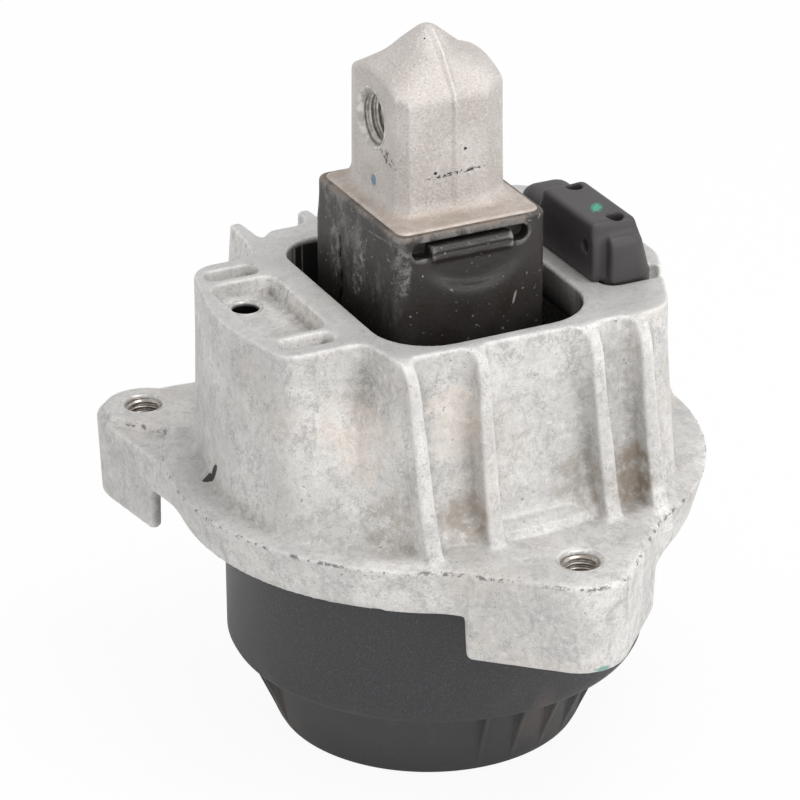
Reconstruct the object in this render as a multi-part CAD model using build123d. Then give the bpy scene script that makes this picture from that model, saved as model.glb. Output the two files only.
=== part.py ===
from build123d import *
from math import cos, radians, sin, tan
import os

os.makedirs("parts", exist_ok=True)

# Sizes in millimetres. Z is up and z = 0 is the foot of the cup.
# The core stands on the Z axis. The head is threaded from the -X side.

# Cup: a bowl that the mount stands on, and a wide barrel above it
foot_r = 35.6
foot_round = 1.6
bowl_top_r = 40.6
bowl_h = 19.7
barrel_r = 47.8
barrel_h = 36.5
barrel_x = 1.7
ledge_round = 1.4
cup_wall = 2.6
cup_floor_t = 3.0
gusset_t = 1.8
gusset_foot_h = 2.4
gusset_in = 2.4
gusset_root = 1.0
gusset_pitch = 13.0
gussets_in_group = 5
gusset_groups = (-72.0, 155.0, 41.5)

# The rims that the housing holds together, from the bottom up
rim_step = 4.6
cup_rim_t = 2.0
diaphragm_rim_t = 1.6
lower_rim_t = 1.6
upper_rim_t = 1.8
rim_gap = 0.2

# Spring ring, pressed into the bore above the rims
ring_r = 48.8
ring_wall = 2.5
ring_h = 4.6

# Housing: a flange ring, a tower round the rubber, ribs and three lugs
lip_t = 2.2
lip_gap = 0.4
flange_low_r = 58.6
flange_r = 61.4
flange_h = 11.0
flange_edge_in = 2.4
flange_bore_gap = 1.4
seat_wall = 2.6
seat_slope = 0.8
seat_round = 2.2
seat_cover = 1.2
housing_h = 54.5
tower_left = 48.8
tower_left_bow = 3.0
tower_right = 50.5
tower_foot_left = 50.4
tower_foot_right = 50.6
tower_front = 41.2
tower_back = 36.0
tower_foot_front = 46.5
tower_foot_back = 43.0
block_front = 28.0
block_back = 24.6
block_neck_x = 29.0
block_round = 11.0
block_back_round = 14.0
block_flare = 3.0
neck_in = 3.0
neck_back_in = 7.0
neck_back_out = 4.0
right_front_in = 12.0
right_front_run = 27.0
right_back_in = 9.0
right_back_run = 20.0
corner_round = 8.0

# Opening in the top of the tower and the hollow under it
opening_half_x = 24.9
opening_front = 36.4
opening_back = 28.2
opening_front_round = 13.5
opening_back_round = 9.5
opening_depth = 9.0
cavity_shoulder = 6.4
cavity_top_r = 30.0

# Ribs of the tower: where they stand, how thick, how far they reach
front_ribs_x = (-24.9, -8.7, 19.0, 30.6)
back_ribs_x = (-27.5, -10.5, 8.0, 25.0)
rib_tip_t = 2.8
rib_root_t = 6.0
rib_top_reach = 1.0
rib_front_reach = 3.2
rib_front_foot = 7.0
rib_back_reach = 7.4
rib_back_foot = 9.5
rib_shoulder = 8.0
rib_drop = 0.8
rib_root_in = 3.0
rib_edge_in = 3.2

# Lugs, threaded from above through wire thread inserts
lug_rise = 12.0
lug_skirt_drop = 9.2
lug_nose_r = 11.8
lug_draft = 0.7
lug_bevel = 2.4
lug_spread = 46.0
lug_run = 23.0
lug_wall = 2.9
lug_roof_t = 5.2
lug_boss_r = 7.6
lug_room_run = 8.0
lug_boss_in = 2.0
lug_floor = 2.0
lug_places = ((3.9, -64.6), (-49.7, 47.2), (61.5, 27.9))
insert_r = 4.15
insert_bore_r = 3.4
insert_l = 16.0
insert_sink = 0.7
insert_lead = 0.35

# Recesses in the block beside the opening, and the locating hole in the large one
recess_depth = 4.5
recess_outer_x = 47.2
recess_inner_x = 31.6
recess_front = 16.6
recess_back = 13.6
recess_draft = 14.0
recess_round = 2.0
slot_depth = 3.2
slot_w = 4.6
slot_bridge = 2.4
slot_in = 1.0
slot_draft = 12.0
locating_r = 3.0
locating_depth = 12.0
locating_x = -40.3
locating_y = 8.6

# Stop buffer beside the opening, plugged into two slots in the top
buffer_x = 36.0
buffer_w = 14.6
buffer_h = 13.8
buffer_front = 25.4
buffer_body_front = 22.4
buffer_body_back = 0.8
buffer_back = 13.0
buffer_step = 3.0
buffer_draft = 0.8
buffer_heel = 3.0
buffer_corner = 0.6
foot_len = 6.2
foot_w = 11.6
foot_depth = 5.4
slot_clear = 0.5
slot_end = 3.4
buffer_lean = 15.0
pin_hole_r = 1.9
pin_hole_depth = 6.0
pin_hole_edge = 2.3
pin_hole_in = 0.3
side_hole_r = 1.5
side_hole_depth = 3.4
side_hole_h = 7.6
buffer_side_in = 3.4
buffer_round = 1.1
foot_inset = 0.4
foot_round = 2.8
foot_shift = 1.4

# Core: head, plinth, shank inside the rubber and a cone foot
plinth_rise = 19.6
plinth_t = 1.6
plinth_half_x = 16.6
plinth_front = 20.2
plinth_back = 17.6
head_half_x = 13.3
head_half_y = 14.5
head_y = 1.0
head_side_h = 25.4
head_roof_h = 34.8
head_fall = 0.43
head_peak_h = 37.9
head_base_round = 1.6
head_facet_x = 2.2
head_facet_y = 6.0
peak_r = 8.4
peak_foot_drop = 4.6
peak_neck_r = 4.4
peak_neck_h = 0.6
peak_cap_r = 2.2
peak_cap_drop = 1.1
peak_tip_r = 0.9
peak_y = 0.5
thread_h = 18.4
thread_y = 1.0
thread_r = 5.1
thread_depth = 22.0
thread_mouth_r = 6.8
head_draft = 0.4
head_corner_round = 2.0
shank_round = 4.0
shank_half_x = 12.5
shank_half_y = 13.5
core_foot_r = 15.5
core_foot_h = 20.0
core_foot_rise = 7.0
core_foot_flat = 3.1
core_edge_h = 2.5
core_neck_out = 2.5

# Rubber: a block round the shank and the cone spring under it
block_half_x = 18.0
block_front_y = 22.4
block_back_y = 19.4
rubber_round = 3.0
block_top_drop = 0.9
block_foot_rise = 16.0
spring_top_r = 23.0
spring_root_h = 7.0
spring_under = 0.8
spring_skin = 1.2
spring_foot_w = 4.0
spring_foot_h = 3.0
spring_gap = 2.0
crown_bulge = 1.6
crown_half_x = 9.5
crown_h = 22.0
groove_h = 3.8
groove_half_x = 14.0
groove_depth = 3.4
groove_drop = 1.7
groove_bar_half_x = 9.8
groove_bar_back = 0.7

# Damper: channel plates, loose disc between them and rolling diaphragm
channel_gap = 0.6
channel_w = 7.5
channel_depth = 8.0
channel_wall = 2.0
grid_ledge = 6.0
grid_t = 2.0
grid_hole_r = 4.2
grid_hole_in = 6.3
grid_count = 4
port_r = 2.7
port_angle = 16.0
stop_w = 8.0
disc_t = 3.0
disc_play = 0.4
disc_gap = 0.6
diaphragm_t = 1.8
diaphragm_gap = 0.3
diaphragm_drop = 24.0
diaphragm_dome_r = 24.0
diaphragm_dome = 9.0
diaphragm_bend = 6.0

# Levels that follow from the sizes above
barrel_base_z = bowl_h
rims_z = bowl_h + barrel_h
diaphragm_z = rims_z + cup_rim_t
lower_z = diaphragm_z + diaphragm_rim_t
upper_z = lower_z + lower_rim_t
ring_z = upper_z + upper_rim_t
ring_top_z = ring_z + ring_h
housing_z = rims_z - lip_t
parting_z = housing_z + flange_h
lug_z = housing_z + lug_rise
skirt_z = housing_z - lug_skirt_drop
top_z = housing_z + housing_h
plinth_z = top_z + plinth_rise
rim_r = barrel_r + rim_step
lip_bore_r = barrel_r + lip_gap
cavity_r = ring_r - cavity_shoulder
seat_r = ring_r + seat_wall
diaphragm_r = barrel_r - cup_wall - diaphragm_gap - diaphragm_t
channel_r = diaphragm_r - channel_gap - channel_wall
grid_r = channel_r - channel_w - channel_wall - grid_ledge
grid_pitch_r = grid_r - grid_hole_r - grid_hole_in
seat_top_z = ring_top_z + seat_cover
core_foot_z = ring_z + core_foot_rise
block_foot_z = ring_top_z + block_foot_rise

seat = Pos(barrel_x, 0, 0)


def turned(points, place=Location()):
    """Solid of revolution round Z from a closed outline of radius and height."""
    with_y = [(r, 0, z) for r, z in points]
    return place * revolve(make_face(Polyline(*with_y, close=True)), Axis.Z)


def rounded(corners, radii):
    """Flat face with its corners rounded one by one."""
    face = make_face(Polyline(*corners, close=True))
    for corner, radius in zip(corners, radii):
        near = face.vertices().sort_by_distance((corner[0], corner[1], 0))[0]
        face = fillet(near, radius)
    return face


def box(x0, x1, y0, y1, z0, z1):
    """Box from its six limits."""
    size = Box(x1 - x0, y1 - y0, z1 - z0)
    return Pos((x0 + x1) / 2, (y0 + y1) / 2, (z0 + z1) / 2) * size


def pipe(r, z0, z1, x=0.0, y=0.0):
    """Upright cylinder between two heights."""
    return Pos(x, y, (z0 + z1) / 2) * Cylinder(r, z1 - z0)


def toward(angle, length=1.0):
    """Point at an angle and distance in the XY plane."""
    return cos(radians(angle)) * length, sin(radians(angle)) * length


def lug_angle(place):
    """Direction of a lug as seen from the flange's axis."""
    return Vector(place[0] - barrel_x, place[1]).get_signed_angle(Vector(1, 0), Vector(0, 0, -1))


def wedge(place, run, sections):
    """Round nose with two straight walls that spread back towards the flange.
    The nose's radius is given for each height."""
    angle = lug_angle(place)
    faces = []
    for z, nose_r in sections:
        left = toward(angle + 90 - lug_spread, nose_r)
        right = toward(angle - 90 + lug_spread, nose_r)
        left_back = toward(angle + 180 - lug_spread, run)
        right_back = toward(angle + 180 + lug_spread, run)
        tail = toward(angle + 180, run + nose_r)
        outline = [
            (left[0], left[1]),
            (left[0] + left_back[0], left[1] + left_back[1]),
            (tail[0], tail[1]),
            (right[0] + right_back[0], right[1] + right_back[1]),
            (right[0], right[1]),
            (0, 0),
        ]
        flat = make_face(Polyline(*outline, close=True)) + Circle(nose_r)
        faces.append((Pos(place[0], place[1], z) * flat).face())
    return loft(faces, ruled=True)


# Cup
def cup_piece():
    wall_in_r = barrel_r - cup_wall
    shell = turned([
        (0, 0),
        (foot_r, 0),
        (bowl_top_r, bowl_h),
        (0, bowl_h),
    ])
    shell = chamfer(shell.edges().group_by(Axis.Z)[0], foot_round)
    barrel = turned([
        (0, barrel_base_z),
        (barrel_r, barrel_base_z),
        (barrel_r, rims_z),
        (rim_r, rims_z),
        (rim_r, diaphragm_z),
        (0, diaphragm_z),
    ], seat)
    barrel = chamfer(barrel.edges().group_by(Axis.Z)[0], ledge_round)
    shell = shell + barrel
    lean = (bowl_top_r - foot_r) / bowl_h
    inner_foot_r = foot_r + lean * cup_floor_t - cup_wall
    inner_top_r = bowl_top_r + lean * cup_wall - cup_wall
    shell = shell - pipe(wall_in_r, bowl_h + cup_wall, diaphragm_z + 1, barrel_x)
    reach = barrel_r - barrel_x - gusset_in
    fin = make_face(Polyline(
        (foot_r - gusset_root, 0, gusset_foot_h),
        (foot_r + lean * gusset_foot_h, 0, gusset_foot_h),
        (reach, 0, bowl_h + gusset_root),
        (foot_r - gusset_root, 0, bowl_h + gusset_root),
        close=True,
    ))
    fin = extrude(fin, gusset_t / 2, dir=(0, 1, 0), both=True)
    first = -(gussets_in_group - 1) / 2
    for middle in gusset_groups:
        for step in range(gussets_in_group):
            angle = middle + (first + step) * gusset_pitch
            shell = shell + Rot(0, 0, angle) * fin
    return shell - turned([
        (0, cup_floor_t),
        (inner_foot_r, cup_floor_t),
        (inner_top_r, bowl_h + cup_wall),
        (0, bowl_h + cup_wall),
    ])


# Housing
def tower_face(left, right, front, back, step):
    """Outline of the tower at one height, with the block for the recesses on its left."""
    neck = block_neck_x
    corners = [
        (-left, block_back),
        (-left - tower_left_bow, -block_front - step),
        (-neck - step, -block_front - step * 2),
        (-neck + neck_in, -front),
        (right - right_front_in, -front),
        (right, -front + right_front_run),
        (right, back - right_back_run),
        (right - right_back_in, back),
        (-neck + neck_back_in, back),
        (-neck - neck_back_out, block_back),
    ]
    r = corner_round
    big = block_back_round
    return rounded(corners, (big, block_round, r / 2, r / 3, r, r * 2, r, r, r / 2, r / 2))


def rib(x, y0, reach, side, foot_z, head_z):
    """Upright rib, thicker at its root, standing out from the front or back wall."""
    tip_foot, tip_shoulder, tip_top = reach
    sections = []
    levels = ((foot_z, tip_foot), (head_z - rib_shoulder, tip_shoulder), (head_z, tip_top))
    for z, tip in levels:
        outline = Polyline(
            (x - rib_root_t / 2, side * y0, z),
            (x - rib_tip_t / 2, side * tip, z),
            (x + rib_tip_t / 2, side * tip, z),
            (x + rib_root_t / 2, side * y0, z),
            close=True,
        )
        sections.append(make_face(outline))
    return loft(sections, ruled=True)


def housing_piece():
    flange = turned([
        (0, housing_z),
        (flange_low_r, housing_z),
        (flange_r, parting_z),
        (flange_r - flange_edge_in, lug_z),
        (seat_r, lug_z),
        (seat_r - seat_slope, seat_top_z - seat_slope),
        (seat_r - seat_slope - seat_round, seat_top_z),
        (0, seat_top_z),
    ], seat)
    foot = tower_face(tower_foot_left, tower_foot_right, tower_foot_front, tower_foot_back, block_flare)
    head = tower_face(tower_left, tower_right, tower_front, tower_back, 0.0)
    tower = loft([Pos(0, 0, parting_z) * foot, Pos(0, 0, top_z) * head], ruled=True)
    body = flange + tower
    walls = (
        (front_ribs_x, -1, opening_front + rib_root_in, tower_foot_front + rib_front_foot,
         tower_front + rib_front_reach, tower_front + rib_top_reach),
        (back_ribs_x, 1, opening_back + rib_root_in, tower_foot_back + rib_back_foot,
         tower_back + rib_back_reach, tower_back + rib_back_reach - rib_top_reach),
    )
    for places, side, root, foot_tip, shoulder_tip, top_tip in walls:
        for x in places:
            limit = ((flange_r - rib_edge_in) ** 2 - (x - barrel_x) ** 2) ** 0.5
            tips = (min(foot_tip, limit), shoulder_tip, top_tip)
            body = body + rib(x, root, tips, side, parting_z, top_z - rib_drop)
    inner_keep = pipe(flange_low_r - lug_boss_in, housing_z, lug_z, barrel_x)
    boss_z = lug_z - insert_sink - insert_l - lug_floor
    for place in lug_places:
        lug = wedge(place, lug_run, (
            (skirt_z, lug_nose_r - lug_draft),
            (parting_z, lug_nose_r),
            (lug_z, lug_nose_r - lug_bevel),
        ))
        room_r = lug_nose_r - lug_draft - lug_wall
        room = wedge(place, lug_run + lug_room_run, (
            (skirt_z - 1, room_r),
            (lug_z - lug_roof_t, room_r),
        ))
        lug = lug - (room - inner_keep)
        boss = pipe(lug_boss_r, boss_z, lug_z, place[0], place[1])
        body = body + (lug + boss)
    body = body - pipe(barrel_r + flange_bore_gap, skirt_z - 1, housing_z, barrel_x)
    body = body - pipe(lip_bore_r, housing_z - 1, rims_z, barrel_x)
    body = body - pipe(rim_r + rim_gap, rims_z, ring_z, barrel_x)
    body = body - pipe(ring_r, ring_z, ring_top_z, barrel_x)
    body = body - turned([
        (0, ring_top_z),
        (cavity_r, ring_top_z),
        (cavity_top_r, top_z - opening_depth),
        (0, top_z - opening_depth),
    ], seat)
    mouth = rounded([
        (-opening_half_x, opening_back),
        (-opening_half_x, -opening_front),
        (opening_half_x, -opening_front),
        (opening_half_x, opening_back),
    ], (opening_back_round, opening_front_round, opening_front_round, opening_back_round))
    body = body - Pos(0, 0, ring_top_z) * extrude(mouth, top_z - ring_top_z)
    for place in lug_places:
        body = body - pipe(insert_r, boss_z - 1, lug_z + 1, place[0], place[1])
        lead = Pos(place[0], place[1], lug_z - insert_lead / 2)
        body = body - lead * Cone(insert_r, insert_r + insert_lead, insert_lead)
    return cut_recesses(body)


def cut_recesses(body):
    """Recesses in the block on the left and the two slots for the stop buffer."""
    floor_z = top_z - recess_depth
    mid_x = -(recess_outer_x + recess_inner_x) / 2
    mid_y = (recess_back - recess_front) / 2
    width = recess_outer_x - recess_inner_x
    lean_in = 2 * recess_depth * tan(radians(recess_draft))
    pan = Pos(mid_x, mid_y, floor_z) * RectangleRounded(
        width - lean_in, recess_back + recess_front - lean_in, recess_round)
    body = body - extrude(pan, recess_depth + 1, taper=-recess_draft)
    lean_in = 2 * slot_depth * tan(radians(slot_draft))
    for y in (recess_back + slot_bridge + slot_w / 2, -recess_front - slot_bridge - slot_w / 2):
        flat = Pos(mid_x, y, top_z - slot_depth) * RectangleRounded(
            width - slot_in * 2 - lean_in, slot_w - lean_in, (slot_w - lean_in) * 0.49)
        body = body - extrude(flat, slot_depth + 1, taper=-slot_draft)
    body = body - pipe(locating_r, floor_z - locating_depth, floor_z + 1, locating_x, locating_y)
    for x, y in foot_places():
        flat = Pos(x + slot_end / 2, y, top_z - foot_depth) * RectangleRounded(
            foot_w + slot_end + slot_clear * 2, foot_len + slot_clear * 2, foot_len / 2)
        body = body - extrude(flat, foot_depth + 1)
    return body


def foot_places():
    """Centres of the buffer's two feet."""
    x = buffer_x + foot_shift
    inset = foot_len / 2 + foot_inset
    return (x, -buffer_front + inset), (x, buffer_back - inset)


# Stop buffer
def buffer_piece():
    top = top_z + buffer_h
    step_z = top - buffer_step
    side = make_face(Polyline(
        (0, -buffer_front, top_z),
        (0, -buffer_front + buffer_draft, step_z - buffer_draft),
        (0, -buffer_body_front - buffer_draft, step_z + buffer_draft / 2),
        (0, -buffer_body_front, top),
        (0, buffer_body_back, top),
        (0, buffer_body_back + buffer_draft, step_z + buffer_draft / 2),
        (0, buffer_back - buffer_heel, step_z),
        (0, buffer_back, step_z - buffer_heel),
        (0, buffer_back, top_z),
        close=True,
    ))
    x0 = buffer_x - buffer_w / 2
    x1 = buffer_x + buffer_w / 2
    body = Pos(x0, 0, 0) * extrude(side, buffer_w, dir=(1, 0, 0))
    slope = tan(radians(buffer_lean))
    trim = make_face(Polyline(
        (x1, 0, top_z),
        (x1 - slope * (buffer_h + 1), 0, top + 1),
        (x1 + buffer_w, 0, top + 1),
        (x1 + buffer_w, 0, top_z),
        close=True,
    ))
    trim = extrude(trim, buffer_front + buffer_back + 2, dir=(0, 1, 0))
    body = body - Pos(0, -buffer_front - 1, 0) * trim
    front_y = -buffer_front - 1
    corner_y = -buffer_body_front - buffer_corner
    body = body - box(x0 - 1, x0 + buffer_side_in, front_y, corner_y, top_z - 1, top + 1)
    edges = body.edges().filter_by(Axis.X).group_by(Axis.Z)
    body = fillet(edges[-1], buffer_round)
    for x, y in foot_places():
        foot = Pos(x, y, top_z - foot_depth) * RectangleRounded(foot_w, foot_len, foot_round)
        body = body + extrude(foot, foot_depth + 1.0)
    for y in (-buffer_body_front + pin_hole_edge, buffer_body_back - pin_hole_edge):
        body = body - pipe(pin_hole_r, top - pin_hole_depth, top + 1, buffer_x - pin_hole_in, y)
    side_y = -buffer_body_front + buffer_side_in
    hole = Pos(x0, side_y, top_z + side_hole_h) * Rot(0, 90, 0)
    return body - hole * Cylinder(side_hole_r, side_hole_depth * 2)


# Core
def core_outer():
    """Head, plinth, shank and cone foot before the thread is cut."""
    x = head_half_x
    y = head_half_y
    plan = rounded([
        (x - head_facet_x, -y),
        (x, -y + head_facet_y),
        (x, y - head_facet_y),
        (x - head_facet_x, y),
        (-x + head_facet_x, y),
        (-x, y - head_facet_y),
        (-x, -y + head_facet_y),
        (-x + head_facet_x, -y),
    ], (head_corner_round,) * 8)
    tall = head_peak_h
    head = Pos(0, head_y, plinth_z - 0.5) * extrude(plan, tall, taper=head_draft)
    z0 = plinth_z - 1.0
    side_z = plinth_z + head_side_h
    roof_z = plinth_z + head_roof_h
    arches = []
    for arch_x in (-x - 1, 0, x + 1):
        rise = roof_z - side_z - head_fall * abs(arch_x)
        end_z = side_z - 2 * rise / y
        front = head_y - y - 1
        back = head_y + y + 1
        arch = ThreePointArc((arch_x, front, end_z), (arch_x, head_y, side_z + rise), (arch_x, back, end_z))
        sides = Polyline((arch_x, back, end_z), (arch_x, back, z0),
                         (arch_x, front, z0), (arch_x, front, end_z))
        arches.append(make_face(arch + sides))
    head = head & loft(arches, ruled=True)
    peak = turned([
        (0, side_z),
        (peak_r, side_z),
        (peak_r, roof_z - peak_foot_drop),
        (peak_neck_r, roof_z + peak_neck_h),
        (peak_cap_r, plinth_z + head_peak_h - peak_cap_drop),
        (peak_tip_r, plinth_z + head_peak_h),
        (0, plinth_z + head_peak_h),
    ])
    head = head + Pos(0, peak_y, 0) * peak
    plinth = box(-plinth_half_x, plinth_half_x, -plinth_front, plinth_back, plinth_z - plinth_t, plinth_z)
    plinth = fillet(plinth.edges().filter_by(Axis.Z), rubber_round)
    skirt = Pos(0, head_y, plinth_z - 0.1) * extrude(
        offset(plan, head_base_round), head_base_round, taper=45)
    shank_z = core_foot_z + core_foot_h - 1
    shank = box(-shank_half_x, shank_half_x, head_y - shank_half_y, head_y + shank_half_y,
                shank_z, plinth_z - plinth_t + 0.2)
    shank = fillet(shank.edges().filter_by(Axis.Z), shank_round)
    foot = turned([
        (0, core_foot_z),
        (core_foot_r - core_foot_flat, core_foot_z),
        (core_foot_r, core_foot_z + core_edge_h),
        (shank_half_x + core_neck_out, core_foot_z + core_foot_h),
        (0, core_foot_z + core_foot_h),
    ])
    return head + skirt + plinth + shank + foot


def core_piece(outer):
    mouth_x = -head_half_x - 1.0
    deep = thread_depth + 1.0
    z = plinth_z + thread_h
    hole = Pos(mouth_x + deep / 2, thread_y, z) * Rot(0, 90, 0) * Cylinder(thread_r, deep)
    sink = thread_mouth_r - thread_r
    mouth = Pos(-head_half_x + sink / 2, thread_y, z) * Rot(0, 90, 0) * Cone(thread_mouth_r, thread_r, sink)
    lead = Pos(-head_half_x - 0.5, thread_y, z) * Rot(0, 90, 0) * Cylinder(thread_mouth_r, 1.0)
    return outer - hole - mouth - lead


# Rubber round the core
def rubber_piece(core):
    top = plinth_z - block_top_drop
    block = box(-block_half_x, block_half_x, -block_front_y, block_back_y, block_foot_z, top)
    block = fillet(block.edges().filter_by(Axis.Z), rubber_round)
    bulge_z = top - groove_drop - groove_h - crown_h / 2
    bow_r = (crown_half_x ** 2 + crown_bulge ** 2) / (2 * crown_bulge)
    bulge = Pos(0, -block_front_y - crown_bulge + bow_r, bulge_z) * Cylinder(bow_r, crown_h)
    bulge = bulge & box(-crown_half_x, crown_half_x, -block_front_y - crown_bulge - 1, 0,
                        block_foot_z, top)
    block = block + bulge
    ring_in_r = ring_r - ring_wall
    spring = turned([
        (0, core_foot_z - spring_skin),
        (core_foot_r - spring_skin, core_foot_z - spring_skin),
        (ring_in_r - spring_foot_w * 2, ring_z + spring_foot_h),
        (ring_in_r - spring_foot_w, ring_z + spring_under),
        (ring_in_r, ring_z + spring_under),
        (ring_in_r, ring_top_z - spring_gap),
        (cavity_r - spring_gap, ring_top_z - spring_under),
        (spring_top_r, block_foot_z + spring_root_h),
        (0, block_foot_z + spring_root_h),
    ], seat)
    body = block + spring
    z1 = top - groove_drop
    z0 = z1 - groove_h
    groove = Pos(0, -block_front_y, (z0 + z1) / 2) * Rot(90, 0, 0) * SlotOverall(
        groove_half_x * 2, groove_h)
    body = body - extrude(groove, groove_depth, dir=(0, 1, 0))
    bar = box(-groove_bar_half_x, groove_bar_half_x, -block_front_y + groove_bar_back,
              -block_front_y + groove_depth, z0, z1)
    return body + bar - core


# Spring ring
def ring_piece():
    inner = ring_r - ring_wall
    return turned([
        (inner, ring_z),
        (ring_r, ring_z),
        (ring_r, ring_top_z),
        (inner, ring_top_z),
    ], seat)


# Channel plates
def grid_holes(z0, z1):
    """Round holes that let the fluid press on the disc."""
    holes = [pipe(grid_hole_r, z0, z1, barrel_x)]
    for k in range(grid_count):
        x, y = toward(360.0 * k / grid_count, grid_pitch_r)
        holes.append(pipe(grid_hole_r, z0, z1, barrel_x + x, y))
    return holes


def lower_plate_piece():
    trough_z = upper_z - channel_depth
    disc_z = upper_z - disc_play - disc_t
    body = pipe(rim_r, lower_z, upper_z, barrel_x)
    body = body + pipe(channel_r + channel_wall, trough_z - channel_wall, upper_z, barrel_x)
    inner_r = channel_r - channel_w - channel_wall
    body = body - pipe(inner_r, trough_z - channel_wall - 1, disc_z - grid_t, barrel_x)
    body = body - pipe(grid_r + disc_gap, disc_z, upper_z, barrel_x)
    groove = pipe(channel_r, trough_z, upper_z, barrel_x)
    groove = groove - pipe(channel_r - channel_w, trough_z, upper_z, barrel_x)
    stop = box(barrel_x, barrel_x + channel_r + 1, -stop_w / 2, stop_w / 2, trough_z, upper_z)
    body = body - (groove - stop)
    out_x, out_y = toward(-port_angle, channel_r - channel_w / 2)
    body = body - pipe(port_r, trough_z - channel_wall - 1, trough_z + 1, barrel_x + out_x, out_y)
    for hole in grid_holes(disc_z - grid_t - 1, disc_z + 1):
        body = body - hole
    return body


def upper_plate_piece():
    body = pipe(rim_r, upper_z, ring_z, barrel_x)
    in_x, in_y = toward(port_angle, channel_r - channel_w / 2)
    body = body - pipe(port_r, upper_z - 1, ring_z + 1, barrel_x + in_x, in_y)
    for hole in grid_holes(upper_z - 1, ring_z + 1):
        body = body - hole
    return body


def disc_piece():
    disc_z = upper_z - disc_play - disc_t
    disc = pipe(grid_r, disc_z, disc_z + disc_t, barrel_x)
    return disc


# Rolling diaphragm
def diaphragm_piece():
    t = diaphragm_t
    r = diaphragm_r
    low_z = diaphragm_z - diaphragm_drop
    dome_z = low_z + diaphragm_dome
    return turned([
        (r, lower_z),
        (r, low_z + t),
        (diaphragm_dome_r + diaphragm_bend, low_z + t),
        (diaphragm_dome_r, dome_z + t),
        (0, dome_z + t),
        (0, dome_z),
        (diaphragm_dome_r - t / 2, dome_z),
        (diaphragm_dome_r + diaphragm_bend - t / 2, low_z),
        (r + t, low_z),
        (r + t, diaphragm_z),
        (rim_r, diaphragm_z),
        (rim_r, lower_z),
    ], seat)


# Wire thread inserts, one in each lug
def insert_pieces():
    z1 = lug_z - insert_sink
    sleeves = []
    for x, y in lug_places:
        ring = pipe(insert_r, z1 - insert_l, z1, x, y) - pipe(insert_bore_r, z1 - insert_l, z1, x, y)
        sleeves.append(ring)
    return Compound(children=[Solid(s.solid().wrapped) for s in sleeves])


outer_core = core_outer()
pieces = {
    "cup": cup_piece(),
    "housing": housing_piece(),
    "stop_buffer": buffer_piece(),
    "core": core_piece(outer_core),
    "rubber_spring": rubber_piece(outer_core),
    "spring_ring": ring_piece(),
    "upper_channel_plate": upper_plate_piece(),
    "lower_channel_plate": lower_plate_piece(),
    "decoupler_disc": disc_piece(),
    "rolling_diaphragm": diaphragm_piece(),
    "lug_thread_inserts": insert_pieces(),
}

for name, solid in pieces.items():
    export_step(solid, f"parts/{name}.step")
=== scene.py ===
import bpy
import numpy as np
from mathutils import Matrix, Vector


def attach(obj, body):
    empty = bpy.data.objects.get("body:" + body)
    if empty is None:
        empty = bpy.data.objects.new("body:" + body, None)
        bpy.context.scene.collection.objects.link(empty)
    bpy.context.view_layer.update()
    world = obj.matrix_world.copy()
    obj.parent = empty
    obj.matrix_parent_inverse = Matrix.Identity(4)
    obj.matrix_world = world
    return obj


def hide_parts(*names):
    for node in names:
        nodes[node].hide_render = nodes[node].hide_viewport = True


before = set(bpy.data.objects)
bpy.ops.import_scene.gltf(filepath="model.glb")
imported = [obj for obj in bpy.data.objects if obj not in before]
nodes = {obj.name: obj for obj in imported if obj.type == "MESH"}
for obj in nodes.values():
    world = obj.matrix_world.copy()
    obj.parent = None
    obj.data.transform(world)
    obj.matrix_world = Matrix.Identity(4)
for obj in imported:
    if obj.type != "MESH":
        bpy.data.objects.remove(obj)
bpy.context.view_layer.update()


# Camera and light: the mount stands on a pale table in a white room, seen from the front left
# and from above. The room gives most of the light. Soft lamps stand over it, in front and
# on its right.
turn, lift = np.radians(-26.535), np.radians(25.969)
photo_width, focal_pixels, shift_pixels, away = 800, 3793.9, 27.79, 0.85107
aim = Vector((0, 0, 0.0765))
back = Vector((np.sin(turn) * np.cos(lift), -np.cos(turn) * np.cos(lift), np.sin(lift)))
right = Vector((np.cos(turn), np.sin(turn), 0))
camera_data = bpy.data.cameras.new("camera")
camera = bpy.data.objects.new("camera", camera_data)
bpy.context.collection.objects.link(camera)
camera_data.sensor_width = 36
camera_data.lens = 36 * focal_pixels / photo_width
camera_data.shift_x = -shift_pixels / photo_width
camera_data.clip_start = 0.05
camera.matrix_world = Matrix.Translation(aim + back * away) @ Matrix(
    (right, back.cross(right), back)).transposed().to_4x4()
bpy.context.scene.camera = camera
bpy.context.scene.view_settings.view_transform = "Standard"


def lamp(name, place, size, power):
    """Square soft lamp that looks at the middle of the mount."""
    data = bpy.data.lights.new(name, "AREA")
    data.energy = power
    data.size = size
    thing = bpy.data.objects.new(name, data)
    thing.location = place
    thing.rotation_euler = (aim - Vector(place)).to_track_quat("-Z", "Y").to_euler()
    bpy.context.collection.objects.link(thing)


lamp("lamp_over", (0.2, -0.3, 1.15), 0.5, 4.4)
lamp("lamp_front", (0.3, -1.15, 0.5), 0.4, 1.6)
lamp("lamp_right", (0.85, -0.8, 0.55), 0.4, 1.6)

world = bpy.data.worlds.new("room")
bpy.context.scene.world = world
world.use_nodes = True
room = world.node_tree
paths = room.nodes.new("ShaderNodeLightPath")
seen = room.nodes.new("ShaderNodeMath")
seen.operation = "MAXIMUM"
room.links.new(paths.outputs["Is Camera Ray"], seen.inputs[0])
room.links.new(paths.outputs["Is Transmission Ray"], seen.inputs[1])
shown = room.nodes["Background"]
shown.inputs["Color"].default_value = (1, 1, 1, 1)
level = room.nodes.new("ShaderNodeMapRange")
level.inputs["To Min"].default_value = 0.78
level.inputs["To Max"].default_value = 1.0
room.links.new(seen.outputs[0], level.inputs["Value"])
room.links.new(level.outputs["Result"], shown.inputs["Strength"])

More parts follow.
